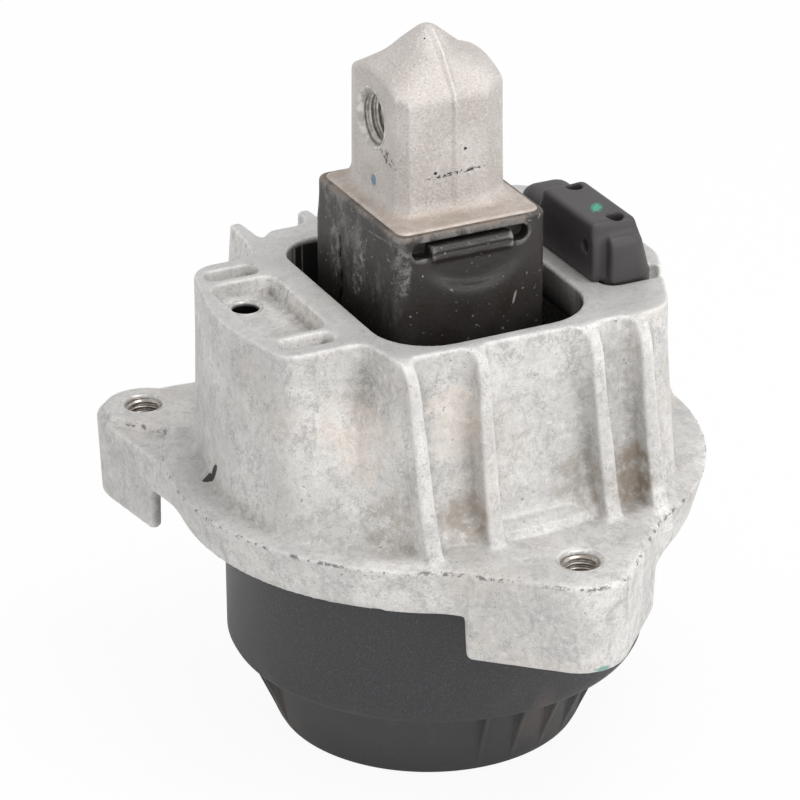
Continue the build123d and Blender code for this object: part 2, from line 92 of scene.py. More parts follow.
table_mesh = bpy.data.meshes.new("table")
table_half, table_z = 3, -0.0002
corners = [(i * table_half, j * table_half, table_z) for i, j in ((-1, -1), (1, -1), (1, 1), (-1, 1))]
table_mesh.from_pydata(corners, [], [(0, 1, 2, 3)])
table = bpy.data.objects.new("table", table_mesh)
bpy.context.collection.objects.link(table)
paper = bpy.data.materials.new("table_paper")
paper.use_nodes = True
tree = paper.node_tree
bright = tree.nodes.new("ShaderNodeEmission")
seen_by = tree.nodes.new("ShaderNodeLightPath")
blend = tree.nodes.new("ShaderNodeMixShader")
diffuse = tree.nodes["Principled BSDF"]
diffuse.inputs["Base Color"].default_value = (0.86, 0.86, 0.86, 1)
diffuse.inputs["Roughness"].default_value = 0.9
share = tree.nodes.new("ShaderNodeMath")
share.operation = "MULTIPLY"
share.inputs[1].default_value = 0.93
tree.links.new(seen_by.outputs["Is Camera Ray"], share.inputs[0])
tree.links.new(share.outputs[0], blend.inputs["Fac"])
tree.links.new(diffuse.outputs[0], blend.inputs[1])
tree.links.new(bright.outputs[0], blend.inputs[2])
tree.links.new(blend.outputs[0], tree.nodes["Material Output"].inputs["Surface"])
table_mesh.materials.append(paper)


# Housing: one aluminium die casting with a flange ring, a ribbed tower, a block with recesses
# on the left, three lugs and a rounded opening in the top. Its edges and roots are all
# rounded, as a casting's are, and its faces are left as they came out of the die.
def soft_min(a, b, r):
    """Smaller of two distances, rounded by a parabola where they differ by less than r."""
    near = np.clip(0.5 + 0.5 * (b - a) / r, 0, 1)
    return b + (a - b) * near - r * near * (1 - near)


def soft_max(a, b, r):
    """Larger of two distances, rounded in the same way."""
    return -soft_min(-a, -b, r)


def rounded_outline(corners, radii, steps=7):
    """Corner list with an arc at each corner. The arc starts and ends where a circle of the
    corner's radius touches both sides, and its points turn evenly from one to the other."""
    corners = np.asarray(corners, float)
    radii = np.broadcast_to(np.asarray(radii, float), len(corners))
    before = np.roll(corners, 1, 0) - corners
    after = np.roll(corners, -1, 0) - corners
    before /= np.linalg.norm(before, axis=1)[:, None]
    after /= np.linalg.norm(after, axis=1)[:, None]
    half = np.arccos(np.clip((before * after).sum(1), -1, 1)) / 2
    middle = before + after
    middle /= np.linalg.norm(middle, axis=1)[:, None]
    centre = corners + middle * (radii / np.sin(half))[:, None]
    start = corners + before * (radii / np.tan(half))[:, None] - centre
    end = corners + after * (radii / np.tan(half))[:, None] - centre
    share = np.linspace(0, 1, steps)[None, :, None]
    sweep = (np.pi / 2 - half)[:, None, None] * 2
    arc = np.sin((1 - share) * sweep) * start[:, None] + np.sin(share * sweep) * end[:, None]
    return (centre[:, None] + arc / np.sin(sweep)).reshape(-1, 2)


def outline_distance(x, y, points):
    """Distance from an outline, less than zero inside: the shortest way to any of its sides,
    with the sign from how many sides a line towards -Y crosses."""
    x, y = np.broadcast_arrays(x, y)
    best = np.full(x.shape, 1e9)
    inside = np.zeros(x.shape, bool)
    for (ax, ay), (bx, by) in zip(points, np.roll(points, -1, 0)):
        dx, dy = bx - ax, by - ay
        along = np.clip(((x - ax) * dx + (y - ay) * dy) / (dx * dx + dy * dy + 1e-12), 0, 1)
        best = np.minimum(best, (x - ax - along * dx) ** 2 + (y - ay - along * dy) ** 2)
        if ax != bx:
            inside ^= (x >= min(ax, bx)) & (x < max(ax, bx)) & (y > ay + (x - ax) * dy / dx)
    return np.where(inside, -1, 1) * np.sqrt(best)


def turned_distance(r, z, points):
    """Distance from a turned shape, from a table over radius and height for each level."""
    step = 0.25
    table_r = np.arange(0, 100, step)
    flat_z = z.reshape(-1)
    table_d = outline_distance(table_r[:, None], flat_z[None, :], np.asarray(points, float))
    place = np.clip(r / step, 0, len(table_r) - 2)
    low = place.astype(int)
    part = place - low
    return table_d[low[:, :, 0]] * (1 - part) + table_d[low[:, :, 0] + 1] * part


def skin(field, block):
    """Surface where a field on a block of grid points is zero. Each cell that the surface
    crosses gets one point, the mean of the crossings on its edges, and each grid edge that
    it crosses gets one face through the four cells round it."""
    shape = np.array(field.shape)
    cells = shape - 1
    inside = field < 0
    keys, spots, quads = [], [], []
    for axis in range(3):
        one = [slice(None)] * 3
        two = [slice(None)] * 3
        one[axis] = slice(0, -1)
        two[axis] = slice(1, None)
        cross = np.argwhere(inside[tuple(one)] != inside[tuple(two)])
        u, v = (axis + 1) % 3, (axis + 2) % 3
        within = (cross[:, u] > 0) & (cross[:, v] > 0) & (cross[:, u] < cells[u]) & (cross[:, v] < cells[v])
        cross = cross[within]
        far = cross.copy()
        far[:, axis] += 1
        f0, f1 = field[tuple(cross.T)], field[tuple(far.T)]
        spot = cross.astype(float)
        spot[:, axis] += f0 / (f0 - f1)
        around = []
        for du, dv in ((1, 1), (0, 1), (0, 0), (1, 0)):
            cell = cross.copy()
            cell[:, u] -= du
            cell[:, v] -= dv
            around.append((cell[:, 0] * cells[1] + cell[:, 1]) * cells[2] + cell[:, 2])
            keys.append(around[-1])
            spots.append(spot)
        quad = np.stack(around, 1)
        quads.append(np.where((f0 < 0)[:, None], quad, quad[:, ::-1]))
    keys, spots = np.concatenate(keys), np.concatenate(spots)
    used, index = np.unique(keys, return_inverse=True)
    count = np.bincount(index)
    points = np.stack([np.bincount(index, spots[:, k]) / count for k in range(3)], 1)
    places = [np.interp(points[:, k], np.arange(shape[k]), block[k].ravel()) for k in range(3)]
    return np.stack(places, 1), np.searchsorted(used, np.concatenate(quads))


def piece(name, points, faces, material, slot, *replaced):
    """Mesh from points in millimetres and faces of four, smooth, riding with the mount."""
    mesh = bpy.data.meshes.new(name)
    mesh.vertices.add(len(points))
    mesh.vertices.foreach_set("co", (np.asarray(points, float) * 0.001).ravel())
    mesh.loops.add(faces.size)
    mesh.loops.foreach_set("vertex_index", faces.ravel().astype(np.int32))
    mesh.polygons.add(len(faces))
    mesh.polygons.foreach_set("loop_start", np.arange(0, faces.size, faces.shape[1], dtype=np.int32))
    mesh.polygons.foreach_set("use_smooth", np.ones(len(faces), bool))
    mesh.update(calc_edges=True)
    mesh.validate()
    mesh.materials.append(material)
    thing = bpy.data.objects.new(name, mesh)
    bpy.context.collection.objects.link(thing)
    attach(thing, "root")
    if replaced:
        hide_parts(*replaced)
    return thing


def fullness(field, points, block, reach):
    """How much of the space round each point is solid, from 0 to 1. The shares of solid in
    the grid's cells are averaged along X, Y and Z in turn, twice, over 2 reach + 1 cells, and
    read between the cells. A flat face has 0.5, an inside corner has more."""
    soft = 1.3
    share = np.clip(0.5 - field / soft, 0, 1).astype(np.float32)
    for axis in (0, 1, 2, 0, 1, 2):
        pads = [(reach + 1, reach) if k == axis else (0, 0) for k in range(3)]
        total = np.cumsum(np.pad(share, pads, mode="edge"), axis)
        ends = [slice(None)] * 3
        starts = [slice(None)] * 3
        ends[axis] = slice(2 * reach + 1, None)
        starts[axis] = slice(0, -2 * reach - 1)
        share = (total[tuple(ends)] - total[tuple(starts)]) / (2 * reach + 1)
    place = [np.interp(points[:, k], block[k].ravel(), np.arange(field.shape[k]) - 0.0005) for k in range(3)]
    place = np.maximum(np.stack(place, 1), 0)
    cell = place.astype(int)
    part = place - cell
    value = 0
    for i, j, k in np.ndindex(2, 2, 2):
        weight = np.abs(1 - i - part[:, 0]) * np.abs(1 - j - part[:, 1]) * np.abs(1 - k - part[:, 2])
        value = value + weight * share[cell[:, 0] + i, cell[:, 1] + j, cell[:, 2] + k]
    return value


def note(thing, name, values):
    """Value for each point of a piece, kept for its material under a name."""
    thing.data.attributes.new(name, "FLOAT", "POINT").data.foreach_set("value", values.astype(np.float32))


def grid(*lines):
    """Coordinates of a block of grid points, one array for each axis. Each axis is given in
    parts that have a start, an end and a step."""
    axes = [np.concatenate([np.arange(a, b - step / 2, step) for a, b, step in parts]) for parts in lines]
    return axes[0][:, None, None], axes[1][None, :, None], axes[2][None, None, :]


barrel_x = 1.7
x, y, z = housing_block = grid(
    [(-64, 75, 0.6)], [(-79, 12, 0.6), (12, 64.5, 0.75)],
    [(43, 61.5, 1.1), (61.5, 70, 0.5), (70, 100, 1.2), (100, 110, 0.5)])
top_z, parting_z, lug_z, skirt_z, flange_foot_z = 108.5, 65.0, 66.0, 44.8, 54

# The tower changes outline from its foot to its head, because its front and its back lean in.
tower_foot = rounded_outline(
    [(-47.8, 24.6), (-53.4, -4.0), (-48.4, -30.0), (-33.5, -39.5), (-26.0, -46.5), (38.6, -46.5),
     (50.6, -19.5), (50.6, 23.0), (41.6, 43.0), (-22.0, 43.0), (-33.0, 24.6)],
    (8, 34, 12, 10, 3, 8, 16, 8, 8, 4, 4))
tower_head = rounded_outline(
    [(-46.6, 24.6), (-52.6, -3.0), (-47.6, -28.0), (-29.0, -28.0), (-26.0, -39.2), (38.2, -40.8),
     (50.5, -14.2), (50.5, 16.0), (41.5, 36.0), (-22.0, 36.0), (-33.0, 24.6)],
    (7, 34, 5, 4, 2.7, 8, 16, 8, 8, 4, 4))
lean_height = 35.0
rise = np.clip(soft_min((z - parting_z) / lean_height, 1.0, 0.2), -0.3, 1)
body = outline_distance(x, y, tower_foot) * (1 - rise) + outline_distance(x, y, tower_head) * rise
body = np.maximum(body, 60.0 - z)

# The flange ring stands round the barrel's axis.
radius = np.hypot(x - barrel_x, y)
flange = turned_distance(radius, z, [
    (0, flange_foot_z), (58.0, flange_foot_z), (58.6, 54.6), (61.3, 64.6), (61.3, 65.1), (58.9, 66.0),
    (51.6, 66.1), (50.6, 68.0), (48.0, 69.0), (0, 69.0)])
body = soft_min(body, flange, 2.2)


def add_rib(body, centre, foot_centre, tip, side, top_round):
    """Rib in the tower's wall. It is as thick as two flanks that spread from the tip to the
    root, and its tip follows a line given by heights and distances from the axis. The root's
    round grows towards the top of its left side."""
    run = np.interp(z, tip[0], tip[1])
    middle = np.interp(z, (parting_z, top_z), (foot_centre, centre))
    depth = run - side * y
    half = 1.3 + np.interp(z, (parting_z, top_z), (0.6, 0.0)) + np.clip(depth, 0, 12) * 0.07
    rib = soft_max((np.abs(x - middle) - half), -depth, 0.6)
    rib = np.maximum(rib, 30.0 - side * y)
    rib = np.maximum(rib, 62.0 - z)
    root = 1.5 + top_round * np.clip(0.5 - (x - middle) / 6, 0, 1) * np.clip((z - 84) / 22, 0, 1)
    return soft_min(body, rib, root)


front_tip = (
    (62, 66, 72, 86, 94, 101, 104, 106, 107.3, 108.1, top_z),
    (55.0, 53.0, 50.8, 47.7, 46.0, 44.8, 43.9, 42.7, 41.2, 39.4, 37.6))
front_ribs = ((-25.0, -24.2, 2.0), (-8.2, -9.4, 2.5), (18.7, 19.3, 4.0), (30.7, 30.7, 2.5))
for centre, foot_centre, top_round in front_ribs:
    body = add_rib(body, centre, foot_centre, front_tip, -1, top_round)
back_tip = ((62, 66, 84, 104, 108), (54.0, 52.0, 47.0, 43.6, 43.0))
for centre in (-27.5, -10.5, 8.0, 25.0):
    body = add_rib(body, centre, centre, back_tip, 1, 2.5)
body = soft_max(body, z - top_z, 0.7)

lug_places = ((3.9, -64.6), (-49.7, 47.2), (61.5, 27.9))


def wedge_outline(place, nose_r, run, spread):
    """Round nose whose two straight sides spread by an angle each towards the flange."""
    angle = np.arctan2(place[1], place[0] - barrel_x)
    turn_by = angle + np.linspace(-np.pi / 2 + spread, np.pi / 2 - spread, 13)
    nose = np.stack([np.cos(turn_by), np.sin(turn_by)], 1) * nose_r
    left = nose[-1] + run * np.array([np.cos(angle + np.pi - spread), np.sin(angle + np.pi - spread)])
    right_end = nose[0] + run * np.array([np.cos(angle + np.pi + spread), np.sin(angle + np.pi + spread)])
    return np.concatenate([nose, [left, right_end]]) + np.asarray(place)


# Each lug is a wedge with drafted sides, hollow from below, with a boss round its tapped hole.
skirt_wall, boss_r, boss_foot_z, boss_head_z, hollow_roof_z, plateau_r = 3.7, 7.6, 47.4, 64, 60.8, 8.6
lug_hole_r, lug_hole_foot_z, flange_kept_r, side_draft, top_slope = 4.7, 46.0, 56.4, 0.035, 0.38
for place, nose_r, spread, skirt_run, step in zip(
        lug_places, (11.7, 10.8, 11.7), np.radians((46, 39, 46)), (23, 20, 23), (0, 1.3, 1.3)):
    lug = outline_distance(x, y, wedge_outline(place, nose_r, run=40, spread=spread))
    out = np.array([place[0] - barrel_x, place[1]]) / np.hypot(place[0] - barrel_x, place[1])
    inward = -(x - place[0]) * out[0] - (y - place[1]) * out[1]
    sideways = np.abs((y - place[1]) * out[0] - (x - place[0]) * out[1])
    run = inward * np.cos(spread) + sideways * np.sin(spread)
    lug = soft_max(lug, np.minimum(run - skirt_run, flange_foot_z - z), 1.5)
    sloped_top = lug * top_slope + z - parting_z - 0.1
    lug = soft_max(lug + np.clip(parting_z - z, 0, 30) * side_draft, sloped_top, 1.0)
    plateau = outline_distance(x, y, wedge_outline(place, plateau_r, run=26, spread=0.12))
    lug = soft_max(lug, z - lug_z + np.clip(plateau, 0, 1.6) * step, 0.6)
    lug = soft_max(lug, skirt_z - 0.7 - z, 0.8)
    hollow = outline_distance(x, y, wedge_outline(place, nose_r - skirt_wall, run=31.0, spread=spread))
    hollow = soft_max(np.maximum(hollow, z - hollow_roof_z), flange_kept_r - radius, 1.2)
    lug = soft_max(lug, -hollow, 1.2)
    boss = soft_max(np.hypot(x - place[0], y - place[1]) - boss_r, boss_foot_z - z, 1.0)
    lug = soft_min(lug, np.maximum(boss, z - boss_head_z), 1.2)
    body = soft_min(body, lug, 1.6)

# The bore is stepped from below and narrows to the opening, whose mouth has rounded corners.
bore_roof_z = 67.8
bore = turned_distance(radius, z, [
    (0, 30), (49.2, 30), (49.2, 54.0), (48.2, 54.0), (48.2, 56.2), (52.6, 56.2), (52.6, 63.2),
    (48.8, 63.2), (48.8, bore_roof_z), (42.4, bore_roof_z), (30.0, 99.5), (0, 99.5)])
body = soft_max(body, -bore, 0.5)
mouth_x, mouth_front, mouth_back = 24.8, -36.3, 28.1
mouth = outline_distance(x, y, rounded_outline(
    [(-mouth_x, mouth_back), (-mouth_x, mouth_front), (mouth_x, mouth_front), (mouth_x, mouth_back)],
    (9.5, 13.5, 13.5, 9.5), 12))
body = soft_max(body, -np.maximum(mouth, bore_roof_z - z), 0.7)

# Left of the opening are a recess, a slot at each end of it and the locating hole in its floor.
# Right of it are the slots for the stop buffer's feet.
pan_z, slot_z, foot_slot_z, pan_draft, slot_draft = 104.0, 105.3, 103.1, 0.26, 0.2
locating_place, locating_r, locating_foot_z = (-40.3, 8.6), 3.4, 91.5
pan = outline_distance(x, y, rounded_outline(
    [(-46.1, 12.5), (-46.1, -15.5), (-32.7, -15.5), (-32.7, 12.5)], (2.6, 2.6, 2.2, 2.2)))
pan = pan - (z - pan_z) * pan_draft
body = soft_max(body, -soft_max(pan, pan_z - z, 1.2), 0.9)
for low_y, high_y in ((16.0, 20.6), (-23.6, -19.0)):
    slot = outline_distance(x, y, rounded_outline(
        [(-45.5, high_y), (-45.5, low_y), (-33.3, low_y), (-33.3, high_y)], 1.9))
    slot = slot - (z - 107) * slot_draft
    body = soft_max(body, -soft_max(slot, slot_z - z, 1.2), 0.9)
locating = np.hypot(x - locating_place[0], y - locating_place[1]) - locating_r
body = np.maximum(body, -np.maximum(locating, locating_foot_z - z))
for low_y, high_y in ((-25.5, -18.3), (5.4, 12.6)):
    slot = outline_distance(x, y, rounded_outline(
        [(31.0, high_y), (31.0, low_y), (47.2, low_y), (47.2, high_y)], 3.3))
    body = soft_max(body, -np.maximum(slot, foot_slot_z - z), 0.8)
for place in lug_places:
    hole = np.hypot(x - place[0], y - place[1]) - lug_hole_r
    body = np.maximum(body, -np.maximum(hole, lug_hole_foot_z - z))


class Looks:
    """One material's nodes. A method that makes a value adds its nodes and returns the last
    one's output. Bump and finish join what they are given to the shader."""

    def __init__(self, name, roughness, metallic=0.0):
        self.material = bpy.data.materials.new(name)
        self.material.use_nodes = True
        self.tree = self.material.node_tree
        self.shader = self.tree.nodes["Principled BSDF"]
        self.shader.inputs["Roughness"].default_value = roughness
        self.shader.inputs["Metallic"].default_value = metallic
        self.where = self.tree.nodes.new("ShaderNodeTexCoord").outputs["Object"]

    def plug(self, value, socket):
        if isinstance(value, bpy.types.NodeSocket):
            self.tree.links.new(value, socket)
        else:
            socket.default_value = value

    def noise(self, scale, detail=4.0, rough=0.55, stretch=(1, 1, 1), shift=0.0, distortion=0.0):
        move = self.tree.nodes.new("ShaderNodeMapping")
        move.inputs["Scale"].default_value = stretch
        move.inputs["Location"].default_value = (shift, shift * 0.7, -shift)
        self.tree.links.new(self.where, move.inputs["Vector"])
        node = self.tree.nodes.new("ShaderNodeTexNoise")
        node.inputs["Scale"].default_value = scale
        node.inputs["Detail"].default_value = detail
        node.inputs["Roughness"].default_value = rough
        node.inputs["Distortion"].default_value = distortion
        self.tree.links.new(move.outputs["Vector"], node.inputs["Vector"])
        return node.outputs["Fac"]

    def ramp(self, value, low, high, to_low=0.0, to_high=1.0):
        node = self.tree.nodes.new("ShaderNodeMapRange")
        node.interpolation_type = "SMOOTHSTEP"
        self.plug(value, node.inputs["Value"])
        for key, number in (("From Min", low), ("From Max", high), ("To Min", to_low), ("To Max", to_high)):
            node.inputs[key].default_value = number
        return node.outputs["Result"]

    def noted(self, name):
        node = self.tree.nodes.new("ShaderNodeAttribute")
        node.attribute_name = name
        return node.outputs["Fac"]

    def math(self, kind, a, b=0.0, c=0.0):
        node = self.tree.nodes.new("ShaderNodeMath")
        node.operation = kind
        for value, socket in zip((a, b, c), node.inputs):
            self.plug(value, socket)
        return node.outputs[0]

    def times(self, a, b):
        return self.math("MULTIPLY", a, b)

    def axis(self, name):
        node = self.tree.nodes.new("ShaderNodeSeparateXYZ")
        self.tree.links.new(self.where, node.inputs[0])
        return node.outputs[name]

    def spot(self, place, size, fuzz=0.25, stretch=(1, 1, 1), turned=(0, 0, 0), scale=900.0):
        """Near 1 within a ragged ellipsoid round a place given in millimetres, 0 outside it."""
        move = self.tree.nodes.new("ShaderNodeMapping")
        move.vector_type = "TEXTURE"
        move.inputs["Location"].default_value = [p * 0.001 for p in place]
        move.inputs["Rotation"].default_value = np.radians(turned)
        move.inputs["Scale"].default_value = [size * 0.001 * k for k in stretch]
        self.tree.links.new(self.where, move.inputs["Vector"])
        away = self.tree.nodes.new("ShaderNodeVectorMath")
        away.operation = "LENGTH"
        self.tree.links.new(move.outputs["Vector"], away.inputs[0])
        ragged = self.math("ADD", away.outputs["Value"], self.times(self.noise(scale, 4.0), fuzz * 2))
        return self.ramp(ragged, 1 + fuzz * 1.4, 1 + fuzz * 0.6)

    def mix(self, share, a, b):
        node = self.tree.nodes.new("ShaderNodeMix")
        node.data_type = "RGBA"
        self.plug(share, node.inputs[0])
        for colour, socket in ((a, node.inputs[6]), (b, node.inputs[7])):
            self.plug(colour if isinstance(colour, bpy.types.NodeSocket) else (*colour, 1), socket)
        return node.outputs[2]

    def bump(self, height, distance, strength=1.0):
        node = self.tree.nodes.new("ShaderNodeBump")
        node.inputs["Distance"].default_value = distance * 0.001
        node.inputs["Strength"].default_value = strength
        self.plug(height, node.inputs["Height"])
        self.tree.links.new(node.outputs["Normal"], self.shader.inputs["Normal"])

    def finish(self, colour, roughness=None):
        self.plug(colour, self.shader.inputs["Base Color"])
        if roughness is not None:
            self.plug(roughness, self.shader.inputs["Roughness"])
        return self.material


# Pale cast skin: cloudy, veined and scuffed, darker in its corners from dirt and painted shade, brighter on
# its edges from wear and a painted highlight, with painted shade on its left wall, on its upward faces at the
# top and in its slits, warm painted highlights under the block, brown stains at the tower's foot and pits
# along the parting line.
cast = Looks("cast_aluminium", 0.55, 0.25)
cloud = cast.noise(42.0, 7.0, 0.62, distortion=0.5)
patches = cast.noise(140.0, 8.0, 0.75, shift=4.0, distortion=0.3)
veins = cast.noise(260.0, 9.0, 0.75, distortion=0.5)
streaks = cast.noise(380.0, 6.0, 0.7, (1, 1, 0.3), shift=5.0, distortion=0.6)
fine = cast.noise(600.0, 6.0, 0.7)
grain = cast.noise(2600.0, 2.0, 0.5)
tone = cast.mix(cast.ramp(cloud, 0.38, 0.62), (0.65, 0.635, 0.615), (0.83, 0.81, 0.785))
tone = cast.mix(cast.ramp(patches, 0.5, 0.66, 0, 0.5), tone, (0.48, 0.475, 0.47))
tone = cast.mix(cast.ramp(grain, 0.42, 0.62, 0, 0.3), tone, (0.46, 0.45, 0.44))
near_vein = cast.ramp(cast.math("ABSOLUTE", cast.math("SUBTRACT", veins, 0.5)), 0.03, 0.0)
tone = cast.mix(cast.times(near_vein, cast.ramp(patches, 0.4, 0.6, 0.05, 0.7)), tone, (0.30, 0.295, 0.29))
tone = cast.mix(cast.ramp(streaks, 0.54, 0.72, 0, 0.6), tone, (0.38, 0.375, 0.37))
low_down = cast.ramp(cast.axis("Z"), 0.072, 0.064)
scuffs = cast.times(cast.ramp(cast.noise(190.0, 8.0, 0.8, shift=7.0), 0.5, 0.64, 0, 0.4), low_down)
tone = cast.mix(scuffs, tone, (0.42, 0.41, 0.395))
tone = cast.mix(cast.ramp(fine, 0.5, 0.72, 0, 0.55), tone, (0.40, 0.39, 0.38))
tone = cast.mix(cast.ramp(fine, 0.46, 0.3, 0, 0.5), tone, (0.88, 0.86, 0.84))
warm = cast.ramp(cast.noise(38.0, 3.0, shift=3.0), 0.52, 0.7, 0, 0.3)
tone = cast.mix(warm, tone, (0.66, 0.575, 0.50))
near, wide = cast.noted("full_near"), cast.noted("full_wide")
# Convex edges are lighter: a painted highlight, along with wear.
tone = cast.mix(cast.ramp(near, 0.46, 0.32, 0, 0.7), tone, (0.88, 0.86, 0.84))
# Corners and hollows are darker: painted shade, along with dirt.
dirt_and_corner_shade = cast.math("ADD", cast.ramp(near, 0.53, 0.7, 0, 0.45), cast.ramp(wide, 0.52, 0.7, 0, 0.5))
dirt_and_corner_shade = cast.times(dirt_and_corner_shade, cast.ramp(fine, 0.36, 0.62, 0.6, 1.3))
tone = cast.mix(dirt_and_corner_shade, tone, (0.22, 0.205, 0.185))
stain = cast.ramp(cast.noise(300.0, 5.0, 0.7, shift=2.0), 0.36, 0.6)
for place, size, shape, amount in (
        ((24.5, -47.0, 72.0), 6.0, (1, 0.9, 1.6), 0.75), ((29.0, -45.0, 72.0), 4.0, (1, 1.2, 2.4), 0.6),
        ((14.0, -46.5, 74.0), 5.0, (1.4, 0.9, 1.3), 0.5), ((-14.0, -46.0, 71.0), 5.0, (1.2, 0.9, 1.4), 0.6),
        ((-31.0, -42.0, 72.0), 5.0, (1, 1.2, 1.6), 0.45)):
    share = cast.times(cast.times(cast.spot(place, size, 0.6, shape, scale=120.0), stain), amount)
    tone = cast.mix(share, tone, (0.30, 0.245, 0.19))
# Painted shade darkens the tower's left wall.
left_side_shade = cast.ramp(cast.axis("X"), -0.043, -0.052, 0, 0.16)
tone = cast.mix(left_side_shade, tone, (0.36, 0.35, 0.345))
facing = cast.tree.nodes.new("ShaderNodeSeparateXYZ")
cast.tree.links.new(cast.tree.nodes.new("ShaderNodeNewGeometry").outputs["Normal"], facing.inputs[0])
# Faces turned upwards near the top are painted darker: painted shade from light that comes from the front.
top_face_shade = cast.ramp(facing.outputs["Z"], 0.8, 0.97, 0, 0.55)
top_face_shade = cast.times(top_face_shade, cast.ramp(cast.axis("Z"), 0.102, 0.108, 0.5, 1.0))
tone = cast.mix(top_face_shade, tone, (0.47, 0.465, 0.46))
# Warm painted highlights on the sloped faces under the block's front.
for place, size in (((-38.0, -31.0, 91.0), 3.0), ((-31.5, -33.0, 88.0), 5.0), ((-14.0, -41.0, 93.0), 5.0)):
    warm_highlight = cast.times(cast.spot(place, size, 1.6, (1, 1.3, 1.5), scale=200.0), 0.26)
    tone = cast.mix(warm_highlight, tone, (0.93, 0.78, 0.66))
specks = cast.ramp(cast.noise(1300.0, 2.0, 0.4, shift=1.0), 0.72, 0.76, 0, 0.6)
tone = cast.mix(specks, tone, (0.10, 0.10, 0.10))
off_line = cast.math("ABSOLUTE", cast.math("SUBTRACT", cast.axis("Z"), parting_z * 0.001))
line_near = cast.ramp(off_line, 0.0007, 0.0002)
line_pits = cast.times(line_near, cast.ramp(cast.noise(480.0, 4.0, 0.7, shift=6.0), 0.5, 0.6, 0, 0.85))
line_pits = cast.times(line_pits, cast.ramp(facing.outputs["Z"], 0.9, 0.7))
tone = cast.mix(line_pits, tone, (0.16, 0.155, 0.15))
# Near-black painted shade inside a crescent slit at the tower's left foot, and a small near-black mark at the
# back.
for place, shape, turned in (
        ((-51.5, 0.4, 69.9), (6.0, 1.0, 3.6), (36, 0, 0)), ((-51.5, 3.4, 67.4), (6.0, 0.95, 2.2), (62, 0, 0)),
        ((-34.7, 52.5, 66.0), (0.7, 1.8, 0.8), (0, 0, 12))):
    tone = cast.mix(cast.spot(place, 1.0, 0.08, shape, turned), tone, (0.012, 0.011, 0.010))
tone = cast.mix(cast.spot((3.9, -75.7, 45.0), 1.2, 0.9, (1.6, 1, 0.6)), tone, (0.26, 0.45, 0.39))
# Inside the opening, from just under its edge, the walls are painted near black.
tone = cast.mix(cast.noted("mouth_dark"), tone, (0.022, 0.020, 0.019))
cast.bump(cast.math("ADD", cast.times(fine, 0.9), cast.times(grain, 0.3)), 0.18, 0.8)
cast_metal = cast.finish(tone, cast.ramp(cloud, 0.3, 0.7, 0.48, 0.64))
points, faces = skin(body, housing_block)
housing = piece("cast_housing", points, faces, cast_metal, "cast_aluminium", "housing")
note(housing, "full_near", fullness(body, points, housing_block, 1))
note(housing, "full_wide", fullness(body, points, housing_block, 5))
# Points inside the opening, below a level just under its edge, are marked to be painted near black.
beyond, dark_from_z = 0.6, top_z - 0.9
in_mouth = np.abs(points[:, 0]) < mouth_x + beyond
in_mouth &= (points[:, 1] > mouth_front - beyond) & (points[:, 1] < mouth_back + beyond)
note(housing, "mouth_dark", np.clip((dark_from_z - points[:, 2]) / 0.8, 0, 1) * in_mouth)
thin = housing.modifiers.new("thin", "DECIMATE")
thin.ratio = 0.58


# Core: one aluminium casting, shot-blasted. A square head with a domed roof and a blunt peak
# stands on a thin plinth. Its shank and cone foot are bonded inside the rubber.
x, y, z = core_block = grid([(-20, 20, 0.42)], [(-24, 21, 0.42)], [(68.5, 126, 1.2), (126, 168, 0.42)])
plinth_z = 128.1
head_plan = rounded_outline(
    [(7.8, -13.5), (13.3, -10.2), (13.3, 9.5), (11.1, 15.5), (-11.1, 15.5), (-13.3, 9.5), (-13.3, -10.8),
     (-10.9, -13.5)], 0.6)
head = outline_distance(x, y, head_plan) + (z - plinth_z) * 0.008
across = np.clip(1 - ((y - 1.0) / 14.5) ** 2, -0.4, 1)
fall = 0.43 - 0.08 * np.clip(x / 4, 0, 1)
roof_z = 153.5 + (9.5 - fall * np.sqrt(x ** 2 + 3.0)) * across
head = soft_max(head, (z - roof_z) * 0.8, 0.9)
peak = turned_distance(np.hypot(x, y - 0.5), z, [
    (0, 150), (9.0, 157.0), (8.2, 158.7), (6.5, 161.3), (4.5, 163.3), (3.0, 164.6), (2.0, 165.4),
    (1.0, 165.9), (0, 166.0)])
head = soft_min(head, peak, 2.4)
seam_x = np.interp(z, (128, 153, 162, 166), (0.6, 0.0, 0.5, 0.4))
head = head - 0.36 * np.exp(-((x - seam_x) / 0.42) ** 2) * np.clip(-1 - y, 0, 1) * (z > 129)
head = np.maximum(head, 126.0 - z)
plinth = outline_distance(x, y, rounded_outline(
    [(-17.0, 18.2), (-17.0, -21.0), (17.0, -21.0), (17.0, 18.2)], 2.4))
plinth = soft_max(soft_max(plinth, z - plinth_z, 0.9), plinth_z - 1.6 - z, 0.6)
head = soft_min(head, plinth, 3.2)
shank = outline_distance(x, y, rounded_outline(
    [(-12.5, 14.5), (-12.5, -12.5), (12.5, -12.5), (12.5, 14.5)], 4.0))
shank = np.maximum(np.maximum(shank, z - 127.5), 80 - z)
foot = turned_distance(np.hypot(x, y), z, [(0, 70.2), (12.4, 70.2), (15.5, 72.7), (15.0, 90.2), (0, 90.2)])
head = soft_min(head, soft_min(shank, foot, 2.0), 1.0)
thread_x, thread_y, thread_z = -13.22, 1.0, plinth_z + 18.4
drill_r, drill_end_x = 6.8, 8.7
around = np.hypot(y - thread_y, z - thread_z)
head = np.maximum(head, -np.maximum(around - drill_r, x - drill_end_x))

